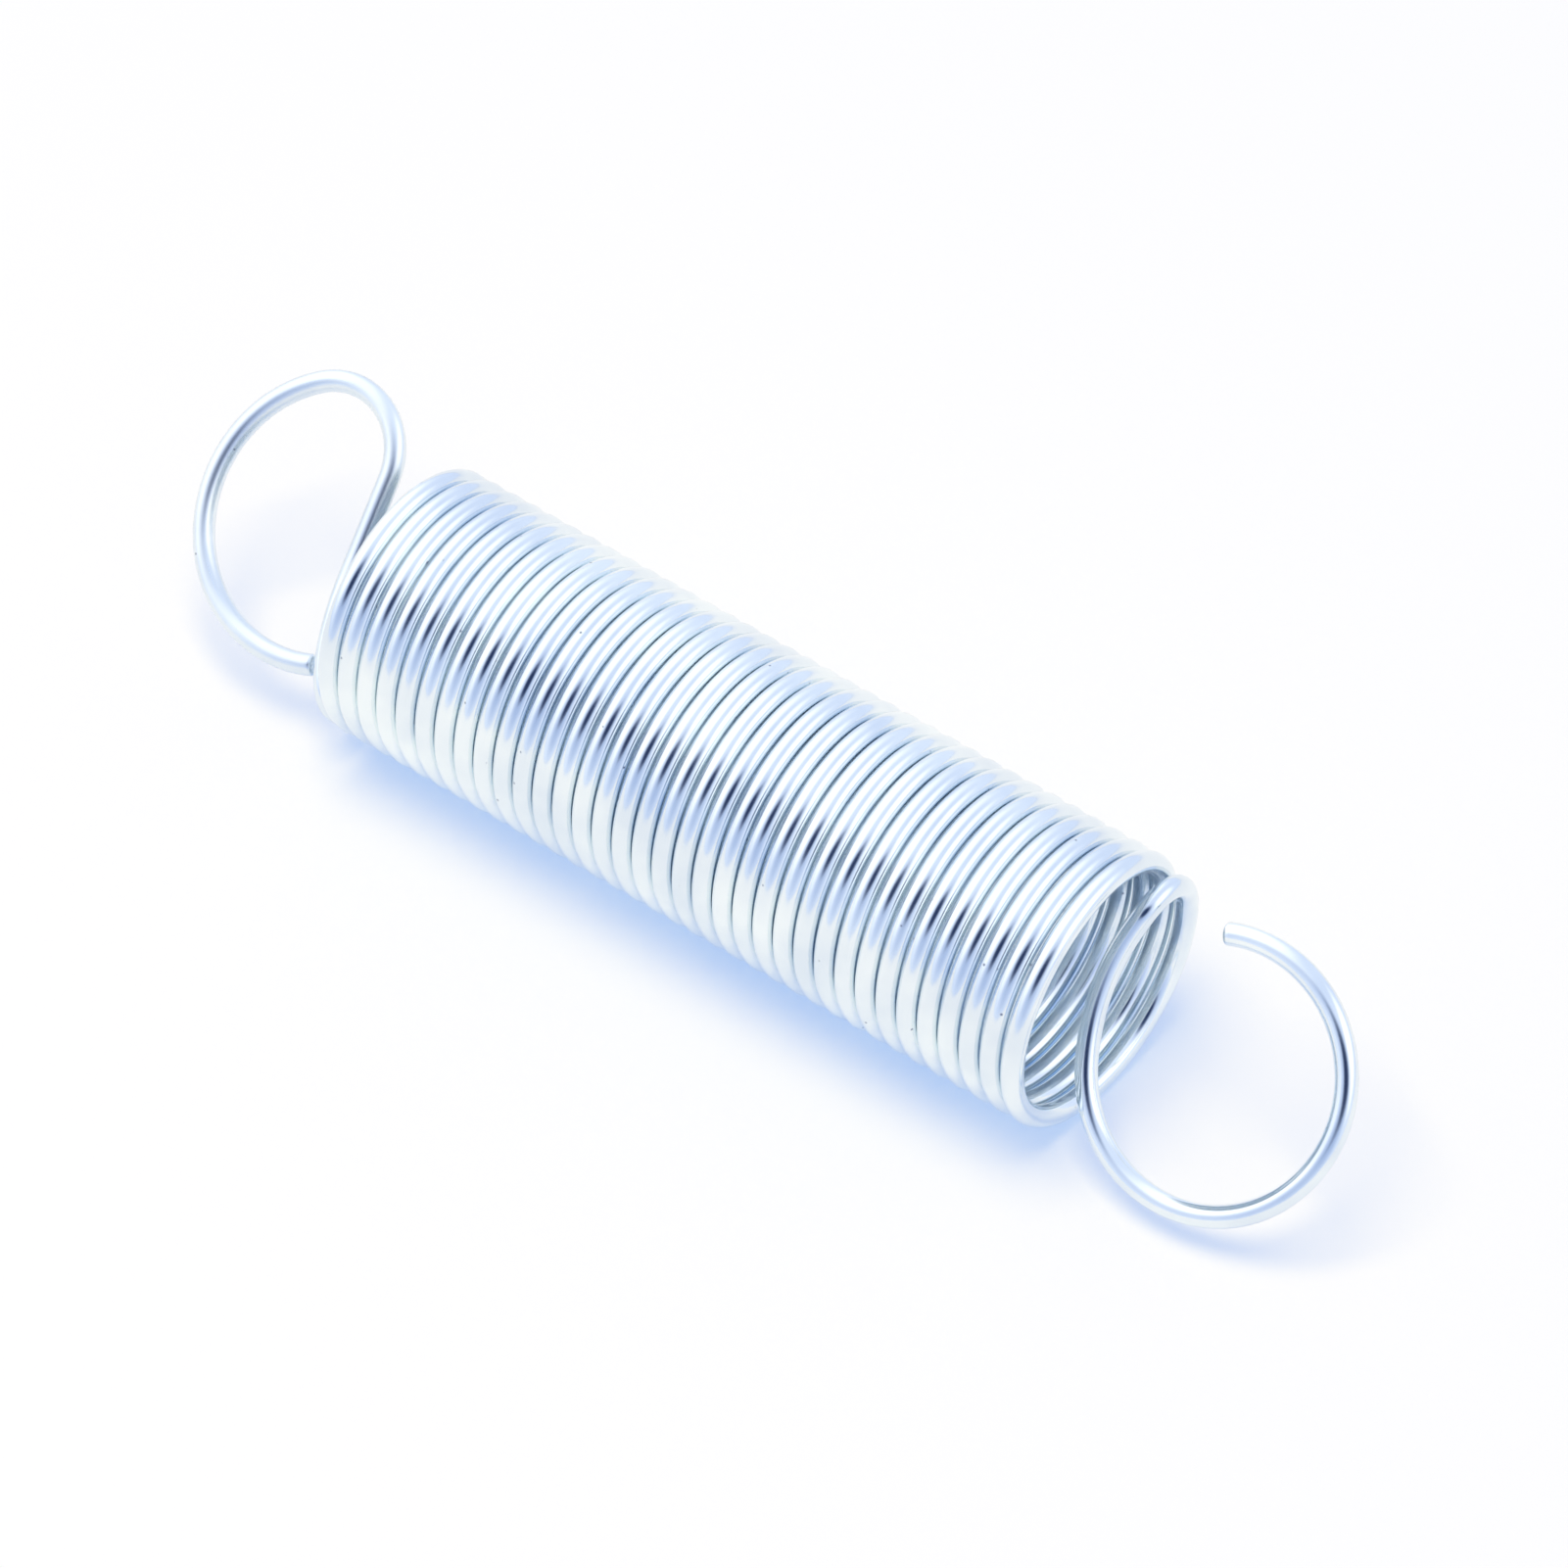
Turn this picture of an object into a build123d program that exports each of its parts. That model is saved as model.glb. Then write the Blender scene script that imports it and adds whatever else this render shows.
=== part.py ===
from build123d import *
from math import ceil, cos, pi, radians, sin
import os

# Extension spring, one length of drawn wire: a close coil with a bent eye at each end.
# +X runs along the coil from the far eye to the near eye, +Z is up, and the spring
# lies on its side on Z = 0. Angles about the coil are measured from +Y towards +Z.

# Wire and coil
wire_diameter = 1.6
coil_outside_diameter = 20.3
turn_gap = 0.12
whole_turns = 34

# Each eye lies in a plane through the coil's axis. The wire leaves the last turn in a
# bend, crosses the end of the coil, turns through a neck and goes round the eye.
# roll: where the neck side of the eye points, about the axis
# lead: how far short of the eye's plane the coil ends, about the axis
# reach: from the coil's end to the eye's centre, along the axis
# offset: from the axis to the eye's centre, towards the neck side
# join: where the neck runs into the eye, about the eye's centre, from outwards
near_eye = {
    "roll": 228.2,
    "lead": 38.8,
    "reach": 9.4,
    "offset": 0.93,
    "radius": 9.4,
    "join": 157.3,
    "sweep": 269.3,
    "neck_radius": 16.6,
    "neck_sweep": 34.0,
    "straight": 0.7,
    "bend_from_coil": 2.95,
    "bend_to_straight": 2.8,
}
far_eye = {
    "roll": 39.8,
    "lead": 22.0,
    "reach": 7.35,
    "offset": 2.2,
    "radius": 10.2,
    "join": 54.3,
    "sweep": 167.0,
    "neck_radius": 5.25,
    "neck_sweep": 119.5,
    "straight": 7.4,
    "bend_from_coil": 8.0,
    "bend_to_straight": 3.0,
}

# Cut ends of the wire
end_round = 0.25

coil_radius = (coil_outside_diameter - wire_diameter) / 2
pitch = wire_diameter + turn_gap
axis_height = coil_outside_diameter / 2

# The coil turns from the far eye's lead to the near eye's lead.
coil_sweep = (
    360 * (whole_turns + 1)
    + near_eye["roll"] - near_eye["lead"]
    - far_eye["roll"] - far_eye["lead"]
)
coil_length = pitch * coil_sweep / 360
coil_start_angle = far_eye["roll"] + 180 + far_eye["lead"]

# The far and near eyes end the same distance from the origin.
overall_length = (
    coil_length
    + far_eye["reach"] + far_eye["radius"]
    + near_eye["reach"] + near_eye["radius"]
    + wire_diameter
)
coil_start_x = far_eye["reach"] + far_eye["radius"] + (wire_diameter - overall_length) / 2
coil_end_x = coil_start_x + coil_length


def around_axis(angle):
    """Unit vector square to the axis, at an angle from +Y towards +Z."""
    return Vector(0, cos(radians(angle)), sin(radians(angle)))


def eye_plane(eye, end_x, outwards):
    """Plane of an eye: X outwards along the axis, Y towards the neck side."""
    normal = outwards.cross(around_axis(eye["roll"]))
    return Plane(origin=(end_x, 0, axis_height), x_dir=outwards, z_dir=normal)


def eye_curves(eye, plane):
    """Straight, neck and eye in order outwards from the coil."""
    step = eye["radius"] - eye["neck_radius"]
    neck_centre = (
        eye["reach"] + step * cos(radians(eye["join"])),
        eye["offset"] + step * sin(radians(eye["join"])),
    )
    neck_start = eye["join"] + eye["neck_sweep"]
    with BuildLine(plane) as curves:
        CenterArc(neck_centre, eye["neck_radius"], neck_start, -eye["neck_sweep"])
        CenterArc((eye["reach"], eye["offset"]), eye["radius"], eye["join"], -eye["sweep"])
    neck, loop = curves.edges()
    with BuildLine() as lead_in:
        straight_end = neck @ 0
        Line(straight_end - (neck % 0) * eye["straight"], straight_end)
    return lead_in.edges() + [neck, loop]


def bend(coil_end, coil_direction, straight, eye):
    """Smooth bend from the coil's end into the straight."""
    with BuildLine() as curve:
        Bezier(
            coil_end,
            coil_end + coil_direction * eye["bend_from_coil"],
            straight @ 0 - (straight % 0) * eye["bend_to_straight"],
            straight @ 0,
        )
    return curve.edges()


# Coil: equal pieces of helix, a little under one turn each
piece_count = ceil(coil_sweep / 360)
piece_length = coil_length / piece_count
piece_sweep = coil_sweep / piece_count
coil = []
for index in range(piece_count):
    turned = Plane(
        origin=(coil_start_x + index * piece_length, 0, axis_height),
        x_dir=around_axis(coil_start_angle + index * piece_sweep),
        z_dir=(1, 0, 0),
    )
    coil.append(turned.location * Helix(pitch, piece_length, coil_radius, mode=Mode.PRIVATE).edge())

near = eye_curves(near_eye, eye_plane(near_eye, coil_end_x, Vector(1, 0, 0)))
far = eye_curves(far_eye, eye_plane(far_eye, coil_start_x, Vector(-1, 0, 0)))
near_bend = bend(coil[-1] @ 1, coil[-1] % 1, near[0], near_eye)
far_bend = bend(coil[0] @ 0, -(coil[0] % 0), far[0], far_eye)

# Route of the wire from the far cut end to the near cut end
with BuildLine() as route:
    add(far)
    add(far_bend)
    add(coil)
    add(near_bend)
    add(near)

far_tip = far[-1] @ 1
far_tip_direction = far[-1] % 1

with BuildPart() as spring_wire:
    with BuildSketch(Plane(origin=far_tip, z_dir=-far_tip_direction)):
        Circle(wire_diameter / 2)
    sweep(path=route.wires()[0])
    cut_faces = spring_wire.faces().filter_by(GeomType.PLANE)
    fillet(cut_faces.edges(), end_round)

spring_wire.part.label = "spring_wire"

os.makedirs("parts", exist_ok=True)
export_step(spring_wire.part, "parts/spring_wire.step")

route_length = route.wires()[0].length
section = pi * wire_diameter**2 / 4
print(f"wire length {route_length:.1f} mm")
print(f"volume {spring_wire.part.volume:.1f} mm3, section x length {section * route_length:.1f} mm3")
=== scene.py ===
from math import ceil, cos, pi, radians, sin

import bpy
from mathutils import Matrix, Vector


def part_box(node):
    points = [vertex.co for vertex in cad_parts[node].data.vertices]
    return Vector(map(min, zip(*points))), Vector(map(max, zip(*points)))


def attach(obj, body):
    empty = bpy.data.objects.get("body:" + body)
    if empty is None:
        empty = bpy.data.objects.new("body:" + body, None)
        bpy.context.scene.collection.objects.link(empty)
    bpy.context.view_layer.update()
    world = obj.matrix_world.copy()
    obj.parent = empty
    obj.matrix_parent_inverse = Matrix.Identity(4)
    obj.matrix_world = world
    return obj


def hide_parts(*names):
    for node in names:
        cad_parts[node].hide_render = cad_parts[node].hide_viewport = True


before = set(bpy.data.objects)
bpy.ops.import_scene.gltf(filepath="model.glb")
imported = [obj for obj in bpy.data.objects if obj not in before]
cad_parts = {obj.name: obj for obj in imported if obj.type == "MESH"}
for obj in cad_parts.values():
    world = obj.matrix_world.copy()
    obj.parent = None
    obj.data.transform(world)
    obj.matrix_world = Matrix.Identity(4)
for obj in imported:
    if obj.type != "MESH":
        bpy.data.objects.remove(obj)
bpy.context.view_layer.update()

mm = 0.001

print("spring: frame loaded")


def toLinear(hexColour):
    channels = [int(hexColour[i:i + 2], 16) / 255 for i in (1, 3, 5)]
    return [c / 12.92 if c <= 0.04045 else ((c + 0.055) / 1.055) ** 2.4 for c in channels] + [1.0]


def addNode(tree, kind, settings=None, **inputs):
    # settings go on the node; inputs are values or sockets to link from, in3 being the fourth input
    node = tree.nodes.new(kind)
    for name, value in (settings or {}).items():
        setattr(node, name, value)
    for name, value in inputs.items():
        numbered = name.startswith("in") and name[2:].isdigit()
        socket = node.inputs[int(name[2:])] if numbered else node.inputs[name.replace("_", " ")]
        if isinstance(value, bpy.types.NodeSocket):
            tree.links.new(value, socket)
        else:
            socket.default_value = value
    return node


def direction(turn, lift):
    # degrees round from +X, degrees up from the floor
    flat = cos(radians(lift))
    return Vector((flat * cos(radians(turn)), flat * sin(radians(turn)), sin(radians(lift))))


cameraView = {
    "location": (210.7 * mm, -272.7 * mm, 393.1 * mm),
    "looksAlong": (-0.40627, 0.53286, -0.7423),
    "lens": 173.14,
    "sensor": 36.0,
    "farthest": 20.0,
}


def addCamera():
    bpy.ops.object.camera_add(location=cameraView["location"])
    camera = bpy.context.object
    camera.name = "studioCamera"
    camera.rotation_euler = Vector(cameraView["looksAlong"]).to_track_quat("-Z", "Y").to_euler()
    camera.data.sensor_width = cameraView["sensor"]
    camera.data.lens = cameraView["lens"]
    camera.data.clip_end = cameraView["farthest"]
    bpy.context.scene.camera = camera
    print("spring: camera set")


wireForm = {
    "diameter": 1.6 * mm,
    "turnGap": 0.12 * mm,
    "wholeTurns": 34,
    "endRound": 0.25 * mm,
    "endRoundSteps": 4,
    "endInset": 0.04 * mm,
    "stepsPerTurn": 100,     # facets along one turn of the coil
    "stepLength": 0.5 * mm,  # facets along the eyes
    "bendStep": 0.3 * mm,    # and along the tighter bends
    "sectionSteps": 8,       # gives 20 sides round the wire
    "weld": 0.01 * mm,
    "rimAngle": 60,          # sharper edges than this are the rims of the cut ends
    "smoothAngle": 35,
    "fewestSteps": 4,        # along the shortest arc
}

# roll: where the neck side of an eye points, from +Y towards +Z
# lead: how far short of that the coil ends
nearEye = {
    "roll": 228.2, "lead": 38.8, "reach": 9.4 * mm, "offset": 0.93 * mm, "radius": 9.4 * mm,
    "join": 157.3, "sweep": 269.3, "neckRadius": 16.6 * mm, "neckSweep": 34.0,
    "straight": 0.7 * mm, "bendFromCoil": 2.95 * mm, "bendToStraight": 2.8 * mm,
}
farEye = {
    "roll": 39.8, "lead": 22.0, "reach": 7.35 * mm, "offset": 2.2 * mm, "radius": 10.2 * mm,
    "join": 54.3, "sweep": 167.0, "neckRadius": 5.25 * mm, "neckSweep": 119.5,
    "straight": 7.4 * mm, "bendFromCoil": 8.0 * mm, "bendToStraight": 3.0 * mm,
}


def aroundAxis(angle):
    return Vector((0, cos(radians(angle)), sin(radians(angle))))


def coilForm():
    # the coil's size and place come from the frame's box
    low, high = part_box("spring_wire")
    form = {}
    form["radius"] = (high.z - low.z - wireForm["diameter"]) / 2
    form["axisHeight"] = (high.z + low.z) / 2
    form["pitch"] = wireForm["diameter"] + wireForm["turnGap"]
    form["sweep"] = (
        360 * (wireForm["wholeTurns"] + 1)
        + nearEye["roll"] - nearEye["lead"] - farEye["roll"] - farEye["lead"]
    )
    form["length"] = form["pitch"] * form["sweep"] / 360
    form["startAngle"] = farEye["roll"] + 180 + farEye["lead"]
    form["startX"] = low.x + wireForm["diameter"] / 2 + farEye["radius"] + farEye["reach"]
    return form


def arcPoints(place, centre, radius, start, sweep):
    # round an arc in an eye's own plane, clockwise
    count = max(wireForm["fewestSteps"], ceil(radius * radians(sweep) / wireForm["stepLength"]))
    points = []
    for i in range(count + 1):
        angle = radians(start - sweep * i / count)
        points.append(place(centre[0] + radius * cos(angle), centre[1] + radius * sin(angle)))
    return points


def eyePoints(eye, endX, outwards, axisHeight):
    # neck and eye, in order outwards from the coil
    side = aroundAxis(eye["roll"])
    origin = Vector((endX, 0, axisHeight))

    def place(out, across):
        return origin + Vector((outwards, 0, 0)) * out + side * across

    step = eye["radius"] - eye["neckRadius"]
    join = radians(eye["join"])
    neckStart = eye["join"] + eye["neckSweep"]
    neckCentre = (eye["reach"] + step * cos(join), eye["offset"] + step * sin(join))
    neck = arcPoints(place, neckCentre, eye["neckRadius"], neckStart, eye["neckSweep"])
    loop = arcPoints(place, (eye["reach"], eye["offset"]), eye["radius"], eye["join"], eye["sweep"])
    heading = place(sin(radians(neckStart)), -cos(radians(neckStart))) - origin
    return neck, loop, heading


def bendPoints(coilEnd, coilHeading, eye, neck, heading):
    # a smooth bend from the coil's end into the straight before the neck
    a = coilEnd
    b = coilEnd + coilHeading * eye["bendFromCoil"]
    d = neck[0] - heading * eye["straight"]
    c = d - heading * eye["bendToStraight"]
    count = ceil(((b - a).length + (c - b).length + (d - c).length) / wireForm["bendStep"])
    points = []
    for i in range(1, count + 1):
        t = i / count
        points.append(a * (1 - t)**3 + b * 3 * t * (1 - t)**2 + c * 3 * t * t * (1 - t) + d * t**3)
    straightCount = max(1, round(eye["straight"] / wireForm["stepLength"]))
    for i in range(1, straightCount):
        points.append(d + heading * eye["straight"] * i / straightCount)
    return points


def wireRoute():
    # centre line of the wire, from the far cut end to the near one
    form = coilForm()
    steps = ceil(form["sweep"] / 360 * wireForm["stepsPerTurn"])
    coil = []
    for i in range(steps + 1):
        share = i / steps
        ray = aroundAxis(form["startAngle"] + form["sweep"] * share)
        middle = Vector((form["startX"] + form["length"] * share, 0, form["axisHeight"]))
        coil.append(middle + ray * form["radius"])

    def heading(angle):
        forward = Vector((form["pitch"] / (2 * pi), 0, 0)) + aroundAxis(angle + 90) * form["radius"]
        return forward.normalized()

    endAngle = form["startAngle"] + form["sweep"]
    endX = form["startX"] + form["length"]
    height = form["axisHeight"]
    nearNeck, nearLoop, nearHeading = eyePoints(nearEye, endX, 1, height)
    farNeck, farLoop, farHeading = eyePoints(farEye, form["startX"], -1, height)
    nearBend = bendPoints(coil[-1], heading(endAngle), nearEye, nearNeck, nearHeading)
    farBend = bendPoints(coil[0], -heading(form["startAngle"]), farEye, farNeck, farHeading)
    farSide = farBend + farNeck + farLoop[1:]
    print("spring: route laid out")
    return farSide[::-1] + coil + nearBend + nearNeck + nearLoop[1:]


def selectFaces(wire, wanted):
    bpy.ops.mesh.select_mode(type="FACE")
    bpy.ops.mesh.select_all(action="DESELECT")
    bpy.ops.object.mode_set(mode="OBJECT")
    for face in wire.data.polygons:
        face.select = wanted(len(face.vertices))
    bpy.ops.object.mode_set(mode="EDIT")


def finishCutEnds(wire):
    # an end cap starts as a loose fan of triangles: weld it on, make it one face, round its rim
    bpy.ops.object.mode_set(mode="EDIT")
    bpy.ops.mesh.select_all(action="SELECT")
    bpy.ops.mesh.remove_doubles(threshold=wireForm["weld"])
    selectFaces(wire, lambda corners: corners == 3)
    bpy.ops.mesh.dissolve_faces()
    bpy.ops.mesh.select_mode(type="EDGE")
    bpy.ops.mesh.select_all(action="DESELECT")
    bpy.ops.mesh.edges_select_sharp(sharpness=radians(wireForm["rimAngle"]))
    bpy.ops.mesh.bevel(offset=wireForm["endRound"], segments=wireForm["endRoundSteps"],
                       affect="EDGES")
    selectFaces(wire, lambda corners: corners > 4)
    bpy.ops.mesh.inset(thickness=wireForm["endInset"])
    bpy.ops.mesh.select_all(action="SELECT")
    bpy.ops.mesh.normals_make_consistent(inside=False)
    bpy.ops.object.mode_set(mode="OBJECT")
    bpy.ops.object.shade_smooth_by_angle(angle=radians(wireForm["smoothAngle"]))
    print("spring: cut ends rounded")


def makeWire():
    route = wireRoute()
    bpy.ops.object.select_all(action="DESELECT")
    bpy.ops.curve.primitive_nurbs_path_add()
    wire = bpy.context.object
    wire.name = "drawnWire"
    curve = wire.data
    curve.splines.clear()
    spline = curve.splines.new("POLY")
    spline.points.add(len(route) - 1)
    for point, place in zip(spline.points, route):
        point.co = (*place, 1)
    curve.bevel_depth = wireForm["diameter"] / 2
    curve.bevel_resolution = wireForm["sectionSteps"]
    curve.use_fill_caps = True
    curve.twist_mode = "MINIMUM"
    bpy.ops.object.convert(target="MESH")
    wire = bpy.context.object
    finishCutEnds(wire)
    length = sum((b - a).length for a, b in zip(route, route[1:]))
    print("spring: wire made,", len(wire.data.polygons), "faces,", round(length / mm, 1), "mm long")
    return wire, length


wirePlate = {
    "pale": "#f3f9fa",
    "blue": "#e2ebf3",
    "speck": "#8792a6",
    "roughness": (0.10, 0.2),
    "markWidth": 0.22,     # mm, as all the sizes here; real marks are finer and wouldn't show
    "markLength": 14.0,
    "markDepth": 0.004,
    "markSpread": (0.3, 0.7),
    "cloudSize": 7.0,
    "cloudSpread": (0.35, 0.65),
    "speckSpacing": 1.3,
    "speckSize": 0.13,
    "speckCore": 0.4,
    "speckShare": 0.3,
    "dullUpTo": (48.0, 66.0),  # duller from the far cut end, fading out over this length
    "dullBy": 0.16,
    "speckDullBy": 0.22,
}


def zincPlatedWire(wireLength):
    # bright zinc plate on drawn steel: a cool blue-white mirror, with faint marks along the
    # draw and dull specks
    material = bpy.data.materials.new("brightZincPlatedSteel")
    material.use_nodes = True
    tree = material.node_tree
    tree.nodes.clear()
    place = addNode(tree, "ShaderNodeTexCoord")

    # millimetres along the wire and across it, with no seam round the section
    uv = addNode(tree, "ShaderNodeSeparateXYZ", in0=place.outputs["UV"])
    along = addNode(tree, "ShaderNodeMath", {"operation": "MULTIPLY"},
                    in0=uv.outputs[0], in1=wireLength / mm)
    turned = addNode(tree, "ShaderNodeMath", {"operation": "MULTIPLY"},
                     in0=uv.outputs[1], in1=2 * pi)
    across = addNode(tree, "ShaderNodeMath", {"operation": "COSINE"}, in0=turned.outputs[0])
    upward = addNode(tree, "ShaderNodeMath", {"operation": "SINE"}, in0=turned.outputs[0])
    joined = addNode(tree, "ShaderNodeCombineXYZ",
                     in0=along.outputs[0], in1=across.outputs[0], in2=upward.outputs[0])
    markScale = wireForm["diameter"] / 2 / mm / wirePlate["markWidth"]
    stretched = addNode(tree, "ShaderNodeVectorMath", {"operation": "MULTIPLY"},
                        in0=joined.outputs[0],
                        in1=(1 / wirePlate["markLength"], markScale, markScale))
    marks = addNode(tree, "ShaderNodeTexNoise",
                    Vector=stretched.outputs[0], Scale=1.0, Detail=3.0, Roughness=0.6)

    clouds = addNode(tree, "ShaderNodeTexNoise", Vector=place.outputs["Object"],
                     Scale=1 / (wirePlate["cloudSize"] * mm), Detail=3.0)
    low, high = wirePlate["cloudSpread"]
    cloudShare = addNode(tree, "ShaderNodeMapRange",
                         in0=clouds.outputs[0], in1=low, in2=high, in3=0.0, in4=1.0)

    # one speck in some of the cells
    cells = addNode(tree, "ShaderNodeTexVoronoi", Vector=place.outputs["Object"],
                    Scale=1 / (wirePlate["speckSpacing"] * mm))
    radius = wirePlate["speckSize"] / wirePlate["speckSpacing"]
    dot = addNode(tree, "ShaderNodeMapRange", {"interpolation_type": "SMOOTHSTEP"},
                  in0=cells.outputs["Distance"],
                  in1=radius * wirePlate["speckCore"], in2=radius, in3=1.0, in4=0.0)
    chance = addNode(tree, "ShaderNodeSeparateColor", in0=cells.outputs["Color"])
    chosen = addNode(tree, "ShaderNodeMath", {"operation": "LESS_THAN"},
                     in0=chance.outputs[0], in1=wirePlate["speckShare"])
    specks = addNode(tree, "ShaderNodeMath", {"operation": "MULTIPLY"},
                     in0=dot.outputs[0], in1=chosen.outputs[0])

    plate = addNode(tree, "ShaderNodeMix", {"data_type": "RGBA"}, in0=cloudShare.outputs[0],
                    in6=toLinear(wirePlate["pale"]), in7=toLinear(wirePlate["blue"]))
    colour = addNode(tree, "ShaderNodeMix", {"data_type": "RGBA"}, in0=specks.outputs[0],
                     in6=plate.outputs[2], in7=toLinear(wirePlate["speck"]))

    low, high = wirePlate["markSpread"]
    smooth, rough = wirePlate["roughness"]
    drawn = addNode(tree, "ShaderNodeMapRange",
                    in0=marks.outputs[0], in1=low, in2=high, in3=smooth, in4=rough)
    start, end = wirePlate["dullUpTo"]
    faded = addNode(tree, "ShaderNodeMapRange", {"interpolation_type": "SMOOTHSTEP"},
                    in0=along.outputs[0], in1=start, in2=end, in3=wirePlate["dullBy"], in4=0.0)
    duller = addNode(tree, "ShaderNodeMath", {"operation": "ADD"},
                     in0=drawn.outputs[0], in1=faded.outputs[0])
    roughness = addNode(tree, "ShaderNodeMath", {"operation": "MULTIPLY_ADD"},
                        in0=specks.outputs[0], in1=wirePlate["speckDullBy"], in2=duller.outputs[0])
    bump = addNode(tree, "ShaderNodeBump", Height=marks.outputs[0],
                   Strength=1.0, Distance=wirePlate["markDepth"] * mm)
    shader = addNode(tree, "ShaderNodeBsdfPrincipled", Metallic=1.0, Base_Color=colour.outputs[2],
                     Roughness=roughness.outputs[0], Normal=bump.outputs[0])
    addNode(tree, "ShaderNodeOutputMaterial", Surface=shader.outputs[0])
    print("spring: zinc plate mixed")
    return material


studioPaper = {
    "size": 4.0,
    "squares": 8,
    "colour": "#fbfdff",
    "fill": (0.20, 0.36, 0.80),  # share of each colour the paper gives out as a glow of its own: painted blue light that lifts the shadow
}


def addFloor():
    # white paper; where the eye or a reflection sees it, part of its white is a painted blue glow
    # of its own, which lifts and tints the shadow
    bpy.ops.object.select_all(action="DESELECT")
    squares = studioPaper["squares"]
    bpy.ops.mesh.primitive_grid_add(x_subdivisions=squares, y_subdivisions=squares,
                                    size=studioPaper["size"])
    floor = bpy.context.object
    floor.name = "studioFloor"
    material = bpy.data.materials.new("whiteStudioPaper")
    material.use_nodes = True
    tree = material.node_tree
    tree.nodes.clear()
    paper = toLinear(studioPaper["colour"])
    fill = [c * share for c, share in zip(paper, studioPaper["fill"])] + [1]
    rest = [c * (1 - share) for c, share in zip(paper, studioPaper["fill"])] + [1]
    plain = addNode(tree, "ShaderNodeBsdfDiffuse", Color=paper)
    lit = addNode(tree, "ShaderNodeBsdfDiffuse", Color=rest)
    # painted light: the paper glows blue for the eye and for reflections, so its shadow reads
    # lighter and blue
    glow = addNode(tree, "ShaderNodeEmission", Color=fill, Strength=1.0)
    seen = addNode(tree, "ShaderNodeAddShader", in0=lit.outputs[0], in1=glow.outputs[0])
    rays = addNode(tree, "ShaderNodeLightPath")
    direct = addNode(tree, "ShaderNodeMath", {"operation": "MAXIMUM"},
                     in0=rays.outputs["Is Camera Ray"], in1=rays.outputs["Is Glossy Ray"])
    looked = addNode(tree, "ShaderNodeMath", {"operation": "MAXIMUM"},
                     in0=direct.outputs[0], in1=rays.outputs["Is Transmission Ray"])
    both = addNode(tree, "ShaderNodeMixShader",
                   in0=looked.outputs[0], in1=plain.outputs[0], in2=seen.outputs[0])
    addNode(tree, "ShaderNodeOutputMaterial", Surface=both.outputs[0])
    floor.data.materials.append(material)
    print("spring: paper laid")


studioLight = {
    "keyFrom": (-120, 80),
    "keyDistance": 1.2,
    "keySize": 0.75,
    "keyWatts": 9.2,
    "keyColour": "#fff6ea",
    "ambient": "#eef3ff",
    "ambientLevel": 0.56,
    "wall": "#dde7fb",
    "wallLevel": 1.12,
}


def addKey():
    heading = direction(*studioLight["keyFrom"])
    bpy.ops.object.light_add(type="AREA", location=heading * studioLight["keyDistance"])
    key = bpy.context.object
    key.name = "keySoftbox"
    key.rotation_euler = (-heading).to_track_quat("-Z", "Y").to_euler()
    key.data.size = studioLight["keySize"]
    key.data.energy = studioLight["keyWatts"]
    key.data.color = toLinear(studioLight["keyColour"])[:3]
    key.visible_glossy = False  # its reflection is drawn by the patches below
    print("spring: key light hung")


# soft patches of the studio as polished wire shows them: degrees round and up, half width
# and half height in degrees, softness of the edge, colour and level
studioPatches = [
    {"turn": 15, "lift": 38, "wide": 40, "high": 22, "soft": 0.7,
     "colour": "#ffffff", "level": 1.35},
    {"turn": 178, "lift": 42, "wide": 48, "high": 36, "soft": 0.7,
     "colour": "#ffffff", "level": 1.35},
    {"turn": -66, "lift": 36, "wide": 40, "high": 30, "soft": 0.85,
     "colour": "#bccdf0", "level": 1.0},
    {"turn": -66, "lift": 45, "wide": 22, "high": 16, "soft": 0.85,
     "colour": "#2c3a5e", "level": 1.0},
]


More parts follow.
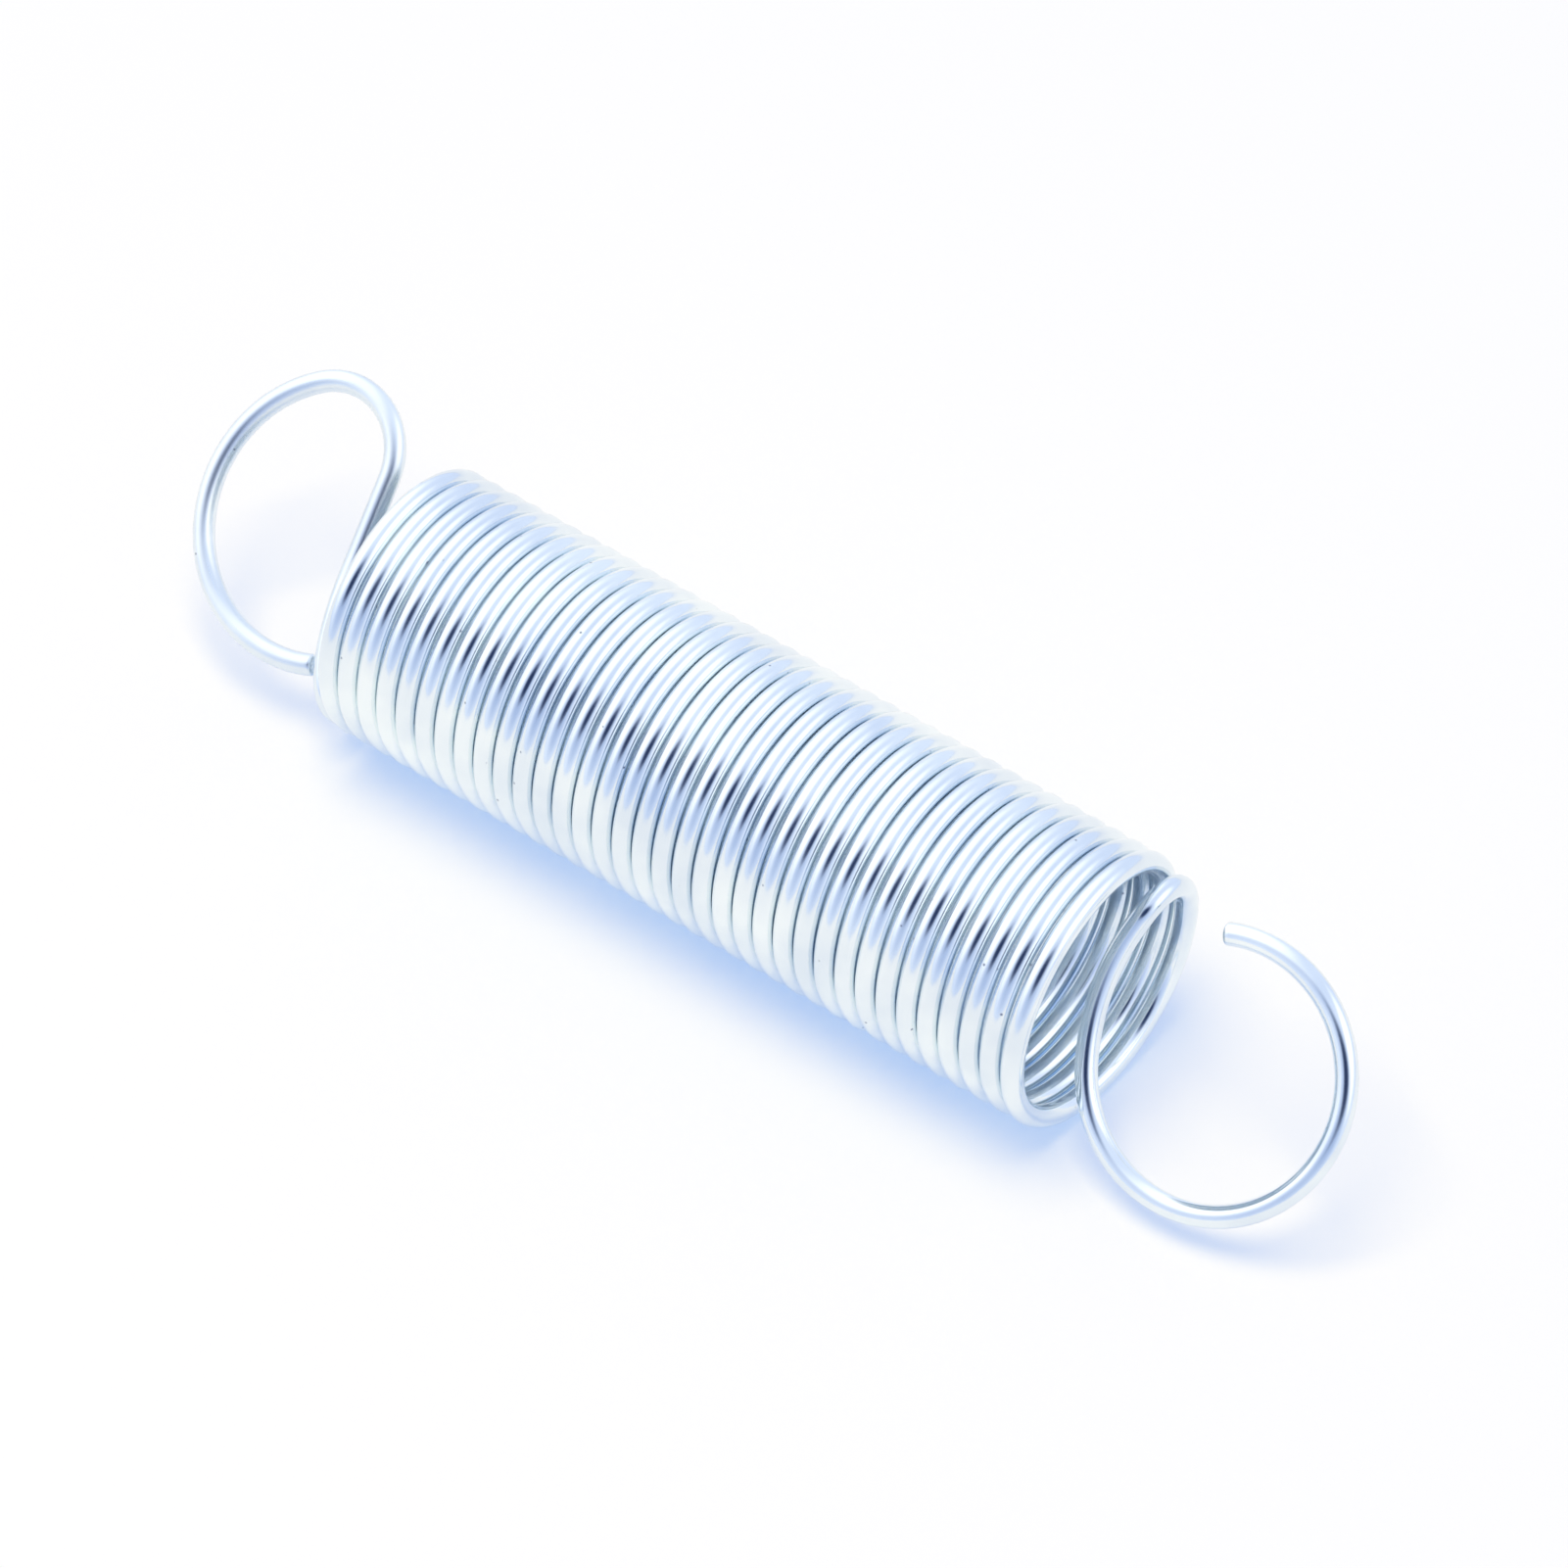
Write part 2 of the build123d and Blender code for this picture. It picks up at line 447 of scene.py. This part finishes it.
def addPatch(tree, place, behind, patch):
    centre = direction(patch["turn"], patch["lift"])
    across = direction(patch["turn"] + 90, 0)
    squares = []
    for axis, size in ((across, patch["wide"]), (centre.cross(across), patch["high"])):
        dot = addNode(tree, "ShaderNodeVectorMath", {"operation": "DOT_PRODUCT"},
                      in0=place, in1=tuple(axis / sin(radians(size))))
        square = addNode(tree, "ShaderNodeMath", {"operation": "POWER"},
                         in0=dot.outputs["Value"], in1=2.0)
        squares.append(square.outputs[0])
    total = addNode(tree, "ShaderNodeMath", {"operation": "ADD"},
                    in0=squares[0], in1=squares[1])
    facing = addNode(tree, "ShaderNodeVectorMath", {"operation": "DOT_PRODUCT"},
                     in0=place, in1=tuple(centre))
    ahead = addNode(tree, "ShaderNodeMath", {"operation": "GREATER_THAN"},
                    in0=facing.outputs["Value"], in1=0.0)
    edge = addNode(tree, "ShaderNodeMapRange", {"interpolation_type": "SMOOTHSTEP"},
                   in0=total.outputs[0],
                   in1=1 - patch["soft"], in2=1 + patch["soft"], in3=1.0, in4=0.0)
    mask = addNode(tree, "ShaderNodeMath", {"operation": "MULTIPLY"},
                   in0=edge.outputs[0], in1=ahead.outputs[0])
    colour = [c * patch["level"] for c in toLinear(patch["colour"])]
    mixed = addNode(tree, "ShaderNodeMix", {"data_type": "RGBA"},
                    in0=mask.outputs[0], in6=behind, in7=colour)
    return mixed.outputs[2]


def studioWorld():
    # reflections see the studio's patches, the paper gets plain ambient light and the
    # camera sees white
    world = bpy.data.worlds.new("paleStudio")
    bpy.context.scene.world = world
    world.use_nodes = True
    tree = world.node_tree
    tree.nodes.clear()
    place = addNode(tree, "ShaderNodeTexCoord").outputs["Generated"]
    shown = [c * studioLight["wallLevel"] for c in toLinear(studioLight["wall"])]
    for patch in studioPatches:
        shown = addPatch(tree, place, shown, patch)
    rays = addNode(tree, "ShaderNodeLightPath")
    colour = addNode(tree, "ShaderNodeMix", {"data_type": "RGBA"},
                     in0=rays.outputs["Is Glossy Ray"],
                     in6=toLinear(studioLight["ambient"]), in7=shown)
    level = addNode(tree, "ShaderNodeMapRange", in0=rays.outputs["Is Glossy Ray"],
                    in1=0.0, in2=1.0, in3=studioLight["ambientLevel"], in4=1.0)
    lit = addNode(tree, "ShaderNodeBackground", Color=colour.outputs[2], Strength=level.outputs[0])
    white = addNode(tree, "ShaderNodeBackground", Color=toLinear("#ffffff"), Strength=1.0)
    seen = addNode(tree, "ShaderNodeMath", {"operation": "MAXIMUM"},
                   in0=rays.outputs["Is Camera Ray"], in1=rays.outputs["Is Transmission Ray"])
    both = addNode(tree, "ShaderNodeMixShader",
                   in0=seen.outputs[0], in1=lit.outputs[0], in2=white.outputs[0])
    addNode(tree, "ShaderNodeOutputWorld", Surface=both.outputs[0])
    print("spring: studio world set")


bpy.context.scene.view_settings.view_transform = "Standard"
bpy.context.scene.cycles.glossy_bounces = 8   # light runs back and forth between the turns
bpy.context.scene.cycles.max_bounces = 12
addCamera()
addFloor()
addKey()
studioWorld()
wire, wireLength = makeWire()
wire.data.materials.append(zincPlatedWire(wireLength))
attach(wire, "root")
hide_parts("spring_wire")
print("spring: wire fitted to the frame")
